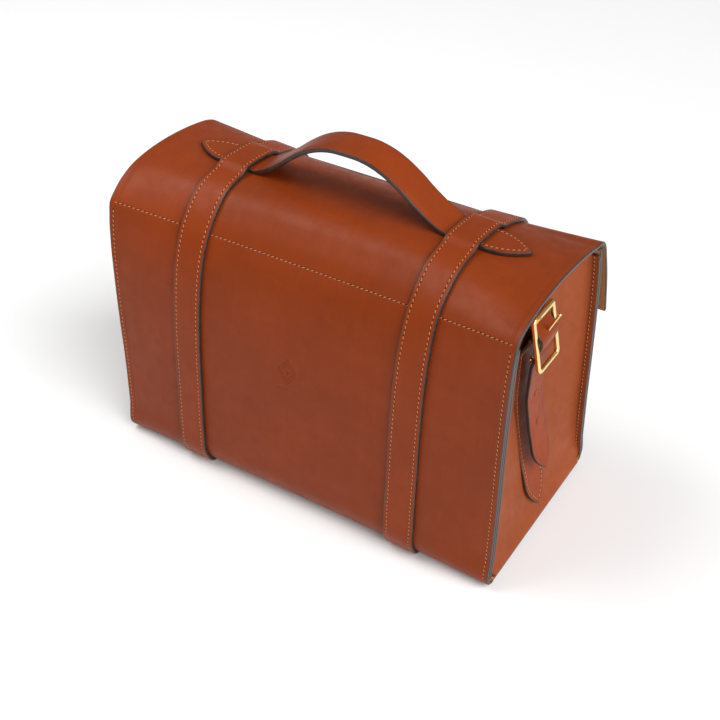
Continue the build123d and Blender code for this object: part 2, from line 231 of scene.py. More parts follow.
def painted_hole_shade():
    m = Nodes("painted_hole_shade")
    place = m.coordinate("Object", (1, 1, 1))
    spots = m.noise(place, 900.0)
    m.set(m.shader, "Base_Color", m.ramp(spots, [(0.3, (0.016, 0.006, 0.003)), (0.7, (0.045, 0.016, 0.007))]))
    m.set(m.shader, "Roughness", m.span(spots, 0.7, 0.95))
    m.shader.inputs["Specular IOR Level"].default_value = 0.15
    return m.material


def brass():
    """Polished cast brass with fine rub marks."""
    m = Nodes("polished_brass")
    place = m.coordinate("Object", (1, 1, 1))
    rub = m.noise(m.coordinate("Object", (1, 1, 0.15)), 900.0, 5.0, 0.7)
    cloud = m.noise(place, 90.0, 3.0)
    base = m.mix(m.span(cloud, 0.0, 1.0, 0.35, 0.65), (0.86, 0.62, 0.22), (0.93, 0.72, 0.33))
    m.set(m.shader, "Base_Color", base)
    m.set(m.shader, "Roughness", m.span(rub, 0.1, 0.26, 0.3, 0.75))
    m.set(m.shader, "Normal", m.bump(rub, 0.00008, 0.12))
    m.shader.inputs["Metallic"].default_value = 1.0
    return m.material


TAN = (0.205, 0.031, 0.004)
BODY = leather("bridle_leather", TAN)
STRAP = leather("strap_leather", tint(TAN, 1.04), 0.4)
# Gusset leather: a lighter, pinker copy of the body leather, painted light for the brighter light that falls
# on the bag's ends.
GUSSET_LIT_LEATHER = leather("gusset_leather_lit_copy", (0.24, 0.05, 0.012), 0.5, 0.26)
# The hole material below is painted shade: a dark colour standing in for the shadow inside awl and billet
# holes.
EDGE, FLESH, THREAD, HOLE_SHADE, BRASS = edge_paint(), flesh_side(), thread(), painted_hole_shade(), brass()


# ---------------------------------------------------------------- meshes
def add_mesh(name, points, faces, kinds, materials, uv=None, repair=True):
    """A smooth-shaded mesh of points in millimetres, with one material index a face."""
    mesh = bpy.data.meshes.new(name)
    mesh.from_pydata(put(points).tolist(), [], [tuple(map(int, f)) for f in faces])
    for material in materials:
        mesh.materials.append(material)
    mesh.polygons.foreach_set("material_index", np.asarray(kinds, np.int32))
    mesh.polygons.foreach_set("use_smooth", np.ones(len(faces), bool))
    if uv is not None:
        layer = mesh.uv_layers.new(name="cut")
        corner = np.empty(len(mesh.loops), np.int32)
        mesh.loops.foreach_get("vertex_index", corner)
        layer.data.foreach_set("uv", (np.asarray(uv)[corner] / 1000).astype(np.float32).ravel())
    if repair:
        work = bmesh.new()
        work.from_mesh(mesh)
        bmesh.ops.recalc_face_normals(work, faces=work.faces)
        work.to_mesh(mesh)
        work.free()
    mesh.update()
    obj = bpy.data.objects.new(name, mesh)
    bpy.context.scene.collection.objects.link(obj)
    return obj


def grid_normals(grid):
    across = np.cross(np.gradient(grid, axis=0), np.gradient(grid, axis=1))
    length = np.linalg.norm(across, axis=2, keepdims=True)
    return across / np.maximum(length, 1e-12)


def rim(rows, columns):
    """Indices of a grid's border, once round."""
    top = [(0, j) for j in range(columns)]
    right = [(i, columns - 1) for i in range(1, rows)]
    bottom = [(rows - 1, j) for j in range(columns - 2, -1, -1)]
    left = [(i, 0) for i in range(rows - 2, 0, -1)]
    return np.array(top + right + bottom + left)


def thick_sheet(name, grid, thickness, relief=None, uv=None, outward=None, edge_r=0.9, materials=None):
    """A piece of leather: the grid is its outer face, short of the cut edge by edge_r.
    relief is how deep the outer face is pressed in. outward is a rough direction for the outer side."""
    grid = np.asarray(grid, float)
    rows, columns = grid.shape[:2]
    normal = grid_normals(grid)
    if outward is not None:
        middle = normal[rows // 2, columns // 2]
        if middle @ np.asarray(outward, float) < 0:
            normal = -normal
    edge_r = min(edge_r, thickness / 2)
    border = rim(rows, columns)
    at, up = grid[border[:, 0], border[:, 1]], normal[border[:, 0], border[:, 1]]
    along = np.roll(at, -1, 0) - np.roll(at, 1, 0)
    away = np.cross(along, up)
    away /= np.maximum(np.linalg.norm(away, axis=1, keepdims=True), 1e-12)
    probe = columns // 2
    if away[probe] @ (grid[0, probe] - grid[1, probe]) < 0:
        away = -away
    turn = np.radians([30, 60, 90])
    steps = [(edge_r * math.sin(a), edge_r * (1 - math.cos(a))) for a in turn]
    steps += [(out, thickness - deep) for out, deep in reversed(steps)]
    outer = grid - normal * (0 if relief is None else relief[..., None])
    inner = grid - normal * thickness
    rings = [at + away * out - up * deep for out, deep in steps]
    points = np.concatenate([outer.reshape(-1, 3), inner.reshape(-1, 3), *rings])
    index = np.arange(rows * columns).reshape(rows, columns)
    quads = np.stack([index[:-1, :-1], index[1:, :-1], index[1:, 1:], index[:-1, 1:]], -1).reshape(-1, 4)
    count, size = rows * columns, len(border)
    ends = border[:, 0] * columns + border[:, 1]
    loops = [ends] + [2 * count + size * k + np.arange(size) for k in range(len(rings))] + [ends + count]
    sides = [np.stack([a, np.roll(a, -1), np.roll(b, -1), b], -1) for a, b in zip(loops, loops[1:])]
    faces = np.concatenate([quads, quads[:, ::-1] + count, *sides])
    kinds = [0] * len(quads) + [1] * len(quads) + [2] * (size * len(sides))
    if uv is None:
        uv = sheet_uv(grid)
    flat = uv.reshape(-1, 2)
    round_uv = [flat[ends] + deep for _, deep in steps]
    all_uv = np.concatenate([flat, flat, *round_uv])
    return add_mesh(name, points, faces, kinds, materials or (BODY, FLESH, EDGE), all_uv)


def sheet_uv(grid):
    """Distances along the two directions of a grid, in millimetres."""
    rows, columns = grid.shape[:2]
    down = np.linalg.norm(np.diff(grid[:, columns // 2], axis=0), axis=1)
    over = np.linalg.norm(np.diff(grid[rows // 2], axis=0), axis=1)
    v, u = np.concatenate([[0], np.cumsum(down)]), np.concatenate([[0], np.cumsum(over)])
    return np.stack(np.broadcast_arrays(u[None, :], v[:, None]), -1)


def resample(points, step=None, count=None):
    """Points evenly spaced along a polyline, and how far along each is."""
    points = np.asarray(points, float)
    far = np.concatenate([[0], np.cumsum(np.linalg.norm(np.diff(points, axis=0), axis=1))])
    count = count or max(2, int(round(far[-1] / step)) + 1)
    want = np.linspace(0, far[-1], count)
    return np.stack([np.interp(want, far, points[:, k]) for k in range(points.shape[1])], -1), want


def fillet_path(corners, radii, step=1.5):
    """Evenly spaced points along a polyline whose corners are arcs."""
    corners = np.asarray(corners, float)
    out = [corners[0]]
    for before, corner, after, radius in zip(corners, corners[1:], corners[2:], radii):
        a, b = before - corner, after - corner
        a, b = a / np.linalg.norm(a), b / np.linalg.norm(b)
        half = math.acos(np.clip(a @ b, -1, 1)) / 2
        reach = radius / math.tan(half)
        centre = corner + (a + b) / np.linalg.norm(a + b) * radius / math.sin(half)
        start, end = corner + a * reach - centre, corner + b * reach - centre
        sweep = math.pi - 2 * half
        for f in np.linspace(0, 1, 9):
            mix = (math.sin((1 - f) * sweep) * start + math.sin(f * sweep) * end) / math.sin(sweep)
            out.append(centre + mix)
    out.append(corners[-1])
    return resample(out, step)[0]


def smooth_curve(knots, t):
    """Smooth curve through knots, at t counted in knots."""
    knots = np.asarray(knots, float)
    gap = np.linalg.norm(np.diff(knots, axis=0), axis=1)
    slope = np.diff(knots, axis=0) / gap[:, None]
    inner = (slope[1:] * gap[:-1, None] + slope[:-1] * gap[1:, None]) / (gap[1:] + gap[:-1])[:, None]
    lean = np.vstack([slope[:1], inner, slope[-1:]])
    k = np.clip(np.floor(t).astype(int), 0, len(gap) - 1)
    f = (np.asarray(t, float) - k)[..., None]
    h = gap[k][..., None]
    a, b = knots[k], knots[k + 1]
    return ((2 * f**3 - 3 * f**2 + 1) * a + (f**3 - 2 * f**2 + f) * h * lean[k]
            + (3 * f**2 - 2 * f**3) * b + (f**3 - f**2) * h * lean[k + 1])


def stitches(name, runs, radius=0.36, slant=0.35, lift=0.0):
    """Thread and awl holes along runs of (points, normals) on a surface, all in one piece. Each awl hole is a
    small dark lens, painted shade in place of the hole's own shadow.
    """
    points, faces, kinds = [], [], []
    rings, sides = 6, 6
    share = np.linspace(0, 1, rings)
    for line, normals in runs:
        far = np.concatenate([[0], np.cumsum(np.linalg.norm(np.diff(line, axis=0), axis=1))])
        count = max(1, int(round(far[-1] / PITCH)))
        place = np.linspace(0, far[-1], count + 1)
        at = np.stack([np.interp(place, far, line[:, k]) for k in range(3)], -1)
        up = np.stack([np.interp(place, far, normals[:, k]) for k in range(3)], -1)
        up /= np.linalg.norm(up, axis=1, keepdims=True)
        for k in range(count):
            a, b, n = at[k], at[k + 1], up[k] + up[k + 1]
            n = n / np.linalg.norm(n)
            run = b - a
            length = np.linalg.norm(run)
            run = run / length
            side = np.cross(n, run)
            base = len(points)
            for f in share:
                rise = lift + radius * (1.5 * math.sin(math.pi * f) ** 0.5 - 0.9)
                forward = length * (THREAD_START + THREAD_SPAN * f)
                centre = a + run * forward + side * slant * (2 * f - 1) + n * rise
                thick = radius * (0.75 + 0.25 * math.sin(math.pi * f))
                for q in range(sides):
                    angle = 2 * math.pi * q / sides
                    points.append(centre + thick * (math.cos(angle) * side + math.sin(angle) * n))
            for r in range(rings - 1):
                for q in range(sides):
                    p, s = base + r * sides, (q + 1) % sides
                    faces.append((p + q, p + s, p + sides + s, p + sides + q))
                    kinds.append(0)
            faces.append(tuple(base + q for q in range(sides)))
            faces.append(tuple(base + (rings - 1) * sides + q for q in range(sides - 1, -1, -1)))
            kinds += [0, 0]
        # Awl holes: small raised dark lenses, painted shade where each hole's shadow would be.
        for k in range(count + 1):
            run = at[min(k + 1, count)] - at[max(k - 1, 0)]
            run = run / np.linalg.norm(run)
            side = np.cross(up[k], run)
            base = len(points)
            points.append(at[k] + up[k] * (lift + HOLE_CREST))
            points.append(at[k] + up[k] * (lift - HOLE_FOOT))
            for q in range(HOLE_SIDES):
                angle = 2 * math.pi * q / HOLE_SIDES
                points.append(at[k] + up[k] * (lift + HOLE_RIM)
                              + HOLE_LONG * math.cos(angle) * (run + HOLE_LEAN * side)
                              + HOLE_WIDE * math.sin(angle) * side)
            for q in range(HOLE_SIDES):
                here, following = base + 2 + q, base + 2 + (q + 1) % HOLE_SIDES
                faces.append((base, here, following))
                faces.append((base + 1, following, here))
                kinds += [1, 1]
    return add_mesh(name, points, faces, kinds, (THREAD, HOLE_SHADE), repair=False)


# ---------------------------------------------------------------- the long skin: bottom, back, hinge and lid
# (y, z) of the outer face, at the ends of the bag and at the middle of its length
BOTTOM_Z = 4.1                          # the straps run between this and the floor
SKIN_END = [(0, 4.1), (50, 4.1), (90, 4.1), (102.5, 4.6), (105.5, 8.5), (103.8, 40), (100.6, 95), (98.9, 150),
            (96.6, 198), (93.4, 240), (89.6, 266), (85.3, 281), (80.8, 285.6), (74.5, 290), (66, 294.3),
            (50, 299.6), (25, 303), (0, 303.6), (-25, 302), (-50, 298.5), (-70, 294), (-82, 288.8),
            (-90.5, 281), (-97.5, 264), (-106, 237), (-112.4, 209), (-116.4, 189.9)]
SKIN_MID = [(0, 4.1), (50, 4.1), (82, 4.3), (102.5, 9), (110.8, 25), (111.5, 54), (107.5, 102), (102.6, 152),
            (95.2, 200), (84, 240), (73.9, 260.5), (67.8, 268.9), (64.7, 273.2), (60.6, 278.8), (52.3, 287.5),
            (40.5, 297.9), (24, 303.3), (0, 303.8), (-25, 301.8), (-48, 297.3), (-67, 290.5), (-79, 284),
            (-88.5, 275), (-97, 259), (-106, 235), (-112.6, 209), (-116.4, 189.9)]
FRONT_MID = [(0, 4.1), (50, 4.1), (82, 4.3), (102.5, 9), (110.8, 25), (111.5, 54), (107.5, 102), (102.6, 152),
             (95.4, 200), (89.2, 245), (85.1, 275), (84.1, 281.5)]
HINGE_T = 11.0                          # knot of the hinge line
LAST_T = len(SKIN_END) - 1.0
PUFF_LEFT, PUFF_RIGHT = -4.2, 4.0       # how the lid's two ends sit below and above its middle
FLAP_OUT = 4.0                          # how far the flap stands forward at the left end


def skin(t, x):
    """Outer face of the long skin at knot t and station x, in millimetres."""
    t, x = np.broadcast_arrays(np.asarray(t, float), np.asarray(x, float))
    full = np.clip(1 - np.abs(x / HALF) ** 2.6, 0, 1)[..., None]
    yz = smooth_curve(SKIN_END, t) * (1 - full) + smooth_curve(SKIN_MID, t) * full
    right, left = ease((x - 90) / 130), ease((-x - 90) / 130)
    rise = PUFF_RIGHT * right * ease((24 - t) / 4) + PUFF_LEFT * left * ease((21.5 - t) / 1.5)
    y = yz[..., 0] - FLAP_OUT * ease((-x - 60) / 160) * ease((t - 19) / 3)
    return np.stack([x, y, np.maximum(yz[..., 1] + ease((t - 12) / 4) * rise, BOTTOM_Z)], -1)


def front_skin(t, x):
    """Outer face of the front panel and the front half of the bottom."""
    t, x = np.broadcast_arrays(np.asarray(t, float), np.asarray(x, float))
    full = np.clip(1 - np.abs(x / HALF) ** 2.6, 0, 1)[..., None]
    yz = smooth_curve(SKIN_END[:12], t) * (1 - full) + smooth_curve(FRONT_MID, t) * full
    return np.stack([x, -yz[..., 0], np.maximum(yz[..., 1], BOTTOM_Z)], -1)


def skin_normal(t, x, face=skin):
    t, x = np.broadcast_arrays(np.asarray(t, float), np.asarray(x, float))
    last = LAST_T if face is skin else HINGE_T
    along = face(np.clip(t + 0.02, 0, last), x) - face(np.clip(t - 0.02, 0, last), x)
    over = face(t, x + 1) - face(t, x - 1)
    normal = np.cross(along, over) * (1 if face is skin else -1)
    return normal / np.linalg.norm(normal, axis=-1, keepdims=True)


def knots_every(step, x=0.0, start=0.0, stop=LAST_T):
    """Knot values whose points at station x lie evenly along the skin."""
    t = np.linspace(start, stop, 4000)
    line = skin(t, x)
    far = np.concatenate([[0], np.cumsum(np.linalg.norm(np.diff(line, axis=0), axis=1))])
    return np.interp(np.linspace(0, far[-1], int(round(far[-1] / step)) + 1), far, t)


def knot_at(value, axis, x=0.0, start=0.0, stop=LAST_T):
    """Knot where the skin's y (axis 1) or z (axis 2) takes a value, within a stretch of knots."""
    t = np.linspace(start, stop, 6000)
    return t[np.argmin(np.abs(skin(t, x)[:, axis] - value))]


# ---- the blind-embossed lozenge
MARK_X, MARK_Z = 6.0, 165.0


def mark_depth(x, z):
    """A plain lozenge with an inner dotted one, a small star and a row of dots below."""
    u, v = x - MARK_X, z - MARK_Z - 3
    wide, tall = 10.5, 14.0
    scale = 1 / math.hypot(1 / wide, 1 / tall)
    ring = (np.abs(u) / wide + np.abs(v) / tall - 1) * scale
    depth = 0.75 * bell(ring, 0.6)
    around = np.arctan2(v / tall, u / wide)
    depth += 0.65 * bell(ring + 2.6, 0.55) * (np.cos(around * 24) > -0.1)
    star = np.sqrt(np.abs(u) / 4.6) + np.sqrt(np.abs(v) / 6.2)
    depth += 0.7 * ease((1.05 - star) / 0.2)
    for k in (-2, -1, 0, 1, 2):
        depth += 0.7 * bell(np.hypot(u - 4.2 * k, v + 19.5), 1.0 if k % 2 else 1.35)
    return depth


def skin_columns():
    near_edge = [0.9, 1.6, 2.6, 3.6, 4.2, 4.7, 5.2, 5.7, 6.1, 6.5, 6.9,
                 7.5, 8.0, 8.4, 8.8, 9.3, 9.7, 10.1, 10.6, 11.4, 13]
    inner = np.arange(17.0, HALF, 4.0)
    side = np.concatenate([near_edge, inner])
    right = HALF - side
    mark = np.arange(MARK_X - 14, MARK_X + 14.1, 0.5)
    columns = np.concatenate([right[right > 0], -right[right > 0], mark])
    columns = np.unique(np.round(columns, 3))
    return columns[np.concatenate([[True], np.diff(columns) > 0.2])]


def skin_relief(t, x, z):
    """How deep the long skin's outer face is pressed in."""
    side = HALF - np.abs(x)
    on_back = ease((t - 4.6) / 0.4) * ease((10.6 - t) / 0.2)
    on_lid = ease((t - 11.1) / 0.3)
    depth = 0.42 * bell(side - 9.7, 0.55) * on_back
    depth += 0.25 * bell(side - 4.7, 0.7) * on_back
    depth += 0.42 * (bell(side - 6.5, 0.4) + bell(side - 8.4, 0.4)) * on_lid
    hinge = (t - HINGE_T) * np.where(t < HINGE_T, 15.0, 8.0)
    depth += 0.45 * bell(hinge, 0.9) * ease((side - 3) / 4)
    hem = skin_hem(t)
    depth += 0.42 * (bell(hem - 6.5, 0.4) + bell(hem - 8.4, 0.4)) * ease((side - 6) / 1)
    return depth + mark_depth(x, z) * (t > 6) * (t < 9)


def skin_hem(t):
    """Distance up from the flap's lower edge, near it."""
    return (LAST_T - t) * 20.5


def make_skin():
    t = knots_every(4.0)
    low, high = knot_at(MARK_Z - 22, 2, MARK_X, 5, 10), knot_at(MARK_Z + 20, 2, MARK_X, 5, 10)
    hinge = HINGE_T + np.linspace(-0.2, 0.35, 16)
    hem = LAST_T - np.array([0.9, 1.6, 3, 4.5, 5.6, 6.1, 6.5, 6.9, 7.5, 8.0, 8.4, 8.8, 9.6, 11]) / 20.5
    t = np.unique(np.concatenate([t[t < hem.min()], np.arange(low, high, 0.011), hinge, hem]))
    t = t[np.concatenate([[True], np.diff(t) > 0.006])]
    x = skin_columns()
    tt, xx = np.meshgrid(t, x, indexing="ij")
    grid = skin(tt, xx)
    far = np.concatenate([[0], np.cumsum(np.linalg.norm(np.diff(skin(t, 0), axis=0), axis=1))])
    uv = np.stack(np.broadcast_arrays(x[None, :], far[:, None]), -1)
    return thick_sheet("skin_back_and_lid", grid, LEATHER, skin_relief(tt, xx, grid[..., 2]), uv, (0, 1, 0))


# ---- front panel with the front half of the bottom
def make_front():
    top = HINGE_T - 0.02
    t = np.linspace(0.0, top, 90)
    x = skin_columns()
    x = x[np.concatenate([[True], np.diff(x) > 0.4])]
    tt, xx = np.meshgrid(t, x, indexing="ij")
    grid = front_skin(tt, xx)
    side = HALF - np.abs(xx)
    on_front = ease((tt - 4.6) / 0.4) * ease((10.75 - tt) / 0.2)
    relief = (0.42 * bell(side - 9.7, 0.55) + 0.25 * bell(side - 4.7, 0.7)) * on_front
    return thick_sheet("skin_front", grid, LEATHER, relief, None, (0, -1, 0))


# ---------------------------------------------------------------- gussets
GUSSET_LOW = 4.9
GUSSET_Z = [GUSSET_LOW, 8.4, 14.0, 28.0, 64.0, 150.0, 290.0]
GUSSET_SEAM = [220.45, 220.2, 217.0, 213.2, 211.0, 210.5, 210.5]
GUSSET_MIDDLE = [220.45, 220.3, 217.6, 212.0, 204.5, 189.7, 189.5]


def panel_half(z):
    """Half depth of the wrap's outer face at the ends of the bag."""
    line = smooth_curve(SKIN_END, np.linspace(3.0, HINGE_T, 400))
    return np.interp(z, line[:, 1], line[:, 0])


def gusset_grid():
    """Outer face of the left gusset, with its two flanges."""
    flange, turn, bow = 7, 6, 34
    part = [("flange", f) for f in np.linspace(0, 1, flange)][:-1]
    part += [("turn", f) for f in np.linspace(0, 1, turn)][:-1]
    part += [("bow", f) for f in np.linspace(0, 0.5, bow // 2 + 1)]
    rows = np.linspace(0, 1, 64)
    half_columns = []
    for kind, f in part:
        reach = {"flange": 0.0, "turn": 0.0, "bow": f}[kind]
        y_top = 80 * (1 - 2 * reach)
        top = 273.2 if kind != "bow" else np.interp(y_top, [50, 74, 80], [286, 280, 273.2])
        z = GUSSET_LOW + (top - GUSSET_LOW) * rows
        seam, middle = np.interp(z, GUSSET_Z, GUSSET_SEAM), np.interp(z, GUSSET_Z, GUSSET_MIDDLE)
        face = panel_half(z) - 2 * LEATHER - 0.1
        bend = np.clip((HALF - 0.5 - seam) * 0.6, 0.1, 3.0)
        if kind == "flange":
            x = HALF - 0.9 - f * (HALF - 0.9 - seam - bend)
            y = face
        elif kind == "turn":
            x = seam + bend - bend * math.sin(f * math.pi / 2)
            y = face - bend + bend * math.cos(f * math.pi / 2)
        else:
            y = (face - bend) * (1 - 2 * f)
            x = seam - (seam - middle) * (1 - (1 - 2 * f) ** 2) ** 1.15
        half_columns.append(np.stack([-x, y, z], -1))
    back = np.stack(half_columns, 1)
    front = back[:, -2::-1].copy()
    front[..., 1] *= -1
    return np.concatenate([back, front], 1)


def at_side(grid, side):
    """The left-hand grid, or its mirror image for the right."""
    grid = np.array(grid, float)
    if side > 0:
        grid[..., 0] *= -1
    return grid


def make_gusset(name, side):
    grid = at_side(gusset_grid(), side)
    outward = (side, 0, 0)
    obj = thick_sheet(f"gusset_skin_{name}", grid, LEATHER, None, None, outward, 0.8, (GUSSET_LIT_LEATHER, FLESH, EDGE))
    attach(obj, "bag")
    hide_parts(f"gusset_{name}")
    z = np.linspace(10, SEAM_TOP - 1, 90)
    seam = np.interp(z, GUSSET_Z, GUSSET_SEAM)
    y = panel_half(z) - 2 * LEATHER - 0.3
    columns = np.linspace(0, 1, 5)
    x = (HALF - 0.9) - columns[None, :] * ((HALF - 0.9) - np.maximum(seam[:, None] + 1.4, 211.5))
    welt = np.stack(np.broadcast_arrays(-x, y[:, None] - LEATHER * 0.02, z[:, None]), -1)
    welt = at_side(welt, side)
    obj = thick_sheet(f"welt_{name}", welt - (0, LEATHER, 0), LEATHER - 0.1, None, None, (0, -1, 0), 0.8)
    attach(obj, "bag")
    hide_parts(f"back_welt_{name}")


# ---------------------------------------------------------------- straps that follow the skin
def strap_relief(across, half, line=4.2):
    """Crowned strap with the thread lying in a channel."""
    edge = half - np.abs(across)
    return 0.35 * bell(edge, 1.6) + 0.3 * bell(edge - line, 0.75)


def handle_bump(t, x):
    """How much a lid strap rises where it covers the handle's end."""
    y = skin(t, x)[..., 1]
    away = np.abs(y - HANDLE_Y) - HANDLE_W / 2
    on_top = (t > 13) & (t < 21)
    return (HANDLE_T + 0.2) * ease((14 - away) / 13) * on_top


def on_skin(t, x, lift, face=skin):
    t, x = np.broadcast_arrays(t, x)
    return face(t, x) + skin_normal(t, x, face) * np.asarray(lift)[..., None]


def strap_columns(half):
    return np.array([-1, -0.93, -0.86, -0.8, -0.765, -0.73, -0.69, -0.64, -0.5, -0.25, 0,
                     0.25, 0.5, 0.64, 0.69, 0.73, 0.765, 0.8, 0.86, 0.93, 1]) * (half - 0.9)


STRAP_LINE = 3.9                        # thread, from a strap's edge
FRONT_STRAP_TOP = 112.0                 # tip of the strap's front end


def make_back_strap(name, side):
    centre, half = side * STRAP_X, STRAP_W / 2
    t = knots_every(2.5, centre)
    across = strap_columns(half)
    tt, aa = np.meshgrid(t, across, indexing="ij")
    lift = STRAP_T + 0.05 + handle_bump(tt, centre)
    grid = on_skin(tt, centre + aa, lift)
    relief = strap_relief(aa, half, STRAP_LINE)
    obj = thick_sheet(f"back_strap_{name}", grid, STRAP_T, relief, None, (0, 0, 1), 1.0, (STRAP, STRAP, EDGE))
    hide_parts(f"base_strap_{name}", f"lid_strap_{name}")
    runs = []
    for offset in (-half + STRAP_LINE, half - STRAP_LINE):
        x = centre + offset
        line = on_skin(t, x, STRAP_T + handle_bump(t, centre) - 0.25)
        runs.append((line[1:-1], skin_normal(t, x)[1:-1]))
    sewn = stitches(f"thread_strap_{name}", runs)
    return [obj, sewn]


def make_front_strap(name, side):
    """The strap's front end, up the front panel to a pointed arch."""
    centre, half = side * STRAP_X, STRAP_W / 2
    t = knots_every(2.5, centre, 0.0, knot_at(FRONT_STRAP_TOP, 2, centre, 4, 9))
    z = front_skin(t, centre)[:, 2]
    width = np.where(t > 4.5, arch_width(FRONT_STRAP_TOP - z, 22.0), 1.0)
    tt, across = np.meshgrid(t, strap_columns(half), indexing="ij")
    aa = across * width[:, None]
    grid = on_skin(tt, centre + aa, np.full(tt.shape, STRAP_T + 0.05), front_skin)
    obj = thick_sheet(f"front_strap_{name}", grid, STRAP_T, strap_relief(across, half, STRAP_LINE), None,
                      (0, -1, 0), 1.0, (STRAP, STRAP, EDGE))
    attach(obj, "bag")
    runs = []
    for sign in (-1, 1):
        x = centre + sign * (half - STRAP_LINE) * width
        keep = (t > 0.2) & (z < FRONT_STRAP_TOP - 5)
        line = on_skin(t, x, np.full(t.shape, STRAP_T - 0.25), front_skin)
        runs.append((line[keep], skin_normal(t, x, front_skin)[keep]))
    sewn = stitches(f"thread_front_strap_{name}", runs)
    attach(sewn, "bag")


def arch_width(from_tip, length):
    """Share of a strap's full width, at a distance from its pointed-arch tip."""
    f = np.clip(from_tip / length, 0, 1)
    return np.maximum(0.04, 1 - (1 - f) ** 1.9)


def bend_at_hinge(obj):
    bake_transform(obj)


# ---------------------------------------------------------------- thread on the skin
def make_hinge_thread():
    x = np.linspace(-HALF + 4, HALF - 4, 200)
    t = np.full(x.shape, HINGE_T)
    obj = stitches("thread_hinge", [(on_skin(t, x, np.full(x.shape, -0.3)), skin_normal(t, x))])
    bend_at_hinge(obj)


SEAM_LINE = 4.7                         # thread of the end seams, from the edge


def make_seam_thread(name, side):
    """Both faces of the two seams at one end, each with a short return at the top."""
    t = knots_every(3.0, side * HALF, knot_at(9, 2, HALF, 3, 6), knot_at(SEAM_TOP, 2, HALF, 8, 11))
    x = np.full(t.shape, side * (HALF - SEAM_LINE))
    line, up = on_skin(t, x, np.full(t.shape, -0.15)), skin_normal(t, x)
    top, top_up = line[-1], up[-1]
    back_in = np.array([top, top + (side * (SEAM_LINE - 0.6), 0, 0)])
    runs = [(line, up), (back_in, np.array([top_up, top_up]))]
    runs += [(a * (1, -1, 1), n * (1, -1, 1)) for a, n in runs]
    z = line[:, 2]
    for depth, towards in ((3 * LEATHER + 0.45, 1), (2 * LEATHER + 0.2, -1)):
        y = towards * (panel_half(z) - depth)
        inside = np.stack([x, y, z], -1)
        facing = np.tile([0.0, -towards, 0.0], (len(z), 1))
        runs.append((inside[z > 12], facing[z > 12]))
    obj = stitches(f"thread_seams_{name}", runs)
    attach(obj, "bag")


# ---------------------------------------------------------------- handle
ARCH = [(0, 358.4), (15, 357.8), (30, 354.4), (45, 347.8), (60, 338), (75, 326), (88, 317), (98, 311.3),
        (108, 307.6), (120, 306.9)]


def arch_height(x):
    return np.interp(np.abs(x), *smooth_curve(ARCH, np.linspace(0, len(ARCH) - 1.001, 300)).T)


def lid_height(x, y):
    t = np.linspace(13, 22, 300)
    line = skin(t, 0)
    knot = np.interp(-y, -line[:, 1], t)
    return skin(knot, x)[..., 2]


def make_handle():
    half, tip = HANDLE_W / 2, HANDLE_TIP - 0.9
    x = np.linspace(-tip, tip, 220)
    columns = np.array([-1, -0.94, -0.88, -0.85, -0.82, -0.79, -0.76, -0.73, -0.7, -0.6, -0.3, 0,
                        0.3, 0.6, 0.7, 0.73, 0.76, 0.79, 0.82, 0.85, 0.88, 0.94, 1]) * (half - 0.9)
    width = arch_width(HANDLE_TIP - np.abs(x), 34.0)
    xx, across = np.meshgrid(x, columns, indexing="ij")
    yy = HANDLE_Y + across * width[:, None]
    flat = lid_height(xx, yy) + HANDLE_T + 0.1
    on_lid = ease((np.abs(xx) - 98) / 16)
    crown = 0.8 * (1 - (across / half) ** 2)
    zz = arch_height(xx) * (1 - on_lid) + flat * on_lid + (crown - 0.8) * (1 - on_lid)
    edge = half - np.abs(across)
    plain = 1 - ease((np.abs(xx) - 104) / 6)
    relief = 0.3 * bell(edge, 1.5) + 0.3 * (bell(edge - 3.2, 0.4) + bell(edge - 4.9, 0.4)) * plain
    relief += 0.28 * bell(edge - STRAP_LINE, 0.75) * (1 - plain)
    obj = thick_sheet("handle_leather", np.stack([xx, yy, zz], -1), HANDLE_T, relief, None, (0, 0, 1), 1.1,
                      (STRAP, STRAP, EDGE))
    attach(obj, "lid")
    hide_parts("handle")
    runs = []
    for sign in (-1, 1):
        ends = []
        for inward in (1, -1):
            along = np.linspace(108, HANDLE_TIP - 4.6, 60)
            reach = (half - STRAP_LINE) * arch_width(HANDLE_TIP - 3.9 - along, 33.0)
            y = HANDLE_Y + inward * np.maximum(reach, 0)
            ends.append(np.stack([sign * along, y, lid_height(sign * along, y) + HANDLE_T - 0.1], -1))
        runs.append((np.concatenate([ends[0], ends[1][::-1]]), np.tile([0, 0, 1.0], (120, 1))))
    sewn = stitches("thread_handle", runs)
    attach(sewn, "lid")


# ---------------------------------------------------------------- straps along a flat path
def strip_grid(path, plane, centre, half, thickness, columns, width=None, flip=1):
    """Outer face of a strap whose mid-line lies in a plane, and its outward normals on that line.
    plane is "xz" for straps round the ends and "yz" for those at the front."""
    path = np.asarray(path, float)
    tangent = np.gradient(path, axis=0)
    tangent /= np.linalg.norm(tangent, axis=1, keepdims=True)
    normal = np.stack([tangent[:, 1], -tangent[:, 0]], -1) * flip
    outer = path + normal * thickness / 2
    share = np.ones(len(path)) if width is None else width
    across = centre + columns[None, :] * (half - 0.9) * share[:, None]
    a, b = (np.broadcast_arrays(outer[:, k][:, None], across)[0] for k in (0, 1))
    first, second, none = normal[:, 0], normal[:, 1], 0 * normal[:, 0]
    if plane == "xz":
        return np.stack([a, across, b], -1), np.stack([first, none, second], -1), outer
    return np.stack([across, a, b], -1), np.stack([none, first, second], -1), outer


UNIT_COLUMNS = np.array([-1, -0.93, -0.87, -0.83, -0.8, -0.76, -0.72, -0.66, -0.5, -0.25, 0,
                         0.25, 0.5, 0.66, 0.72, 0.76, 0.8, 0.83, 0.87, 0.93, 1])


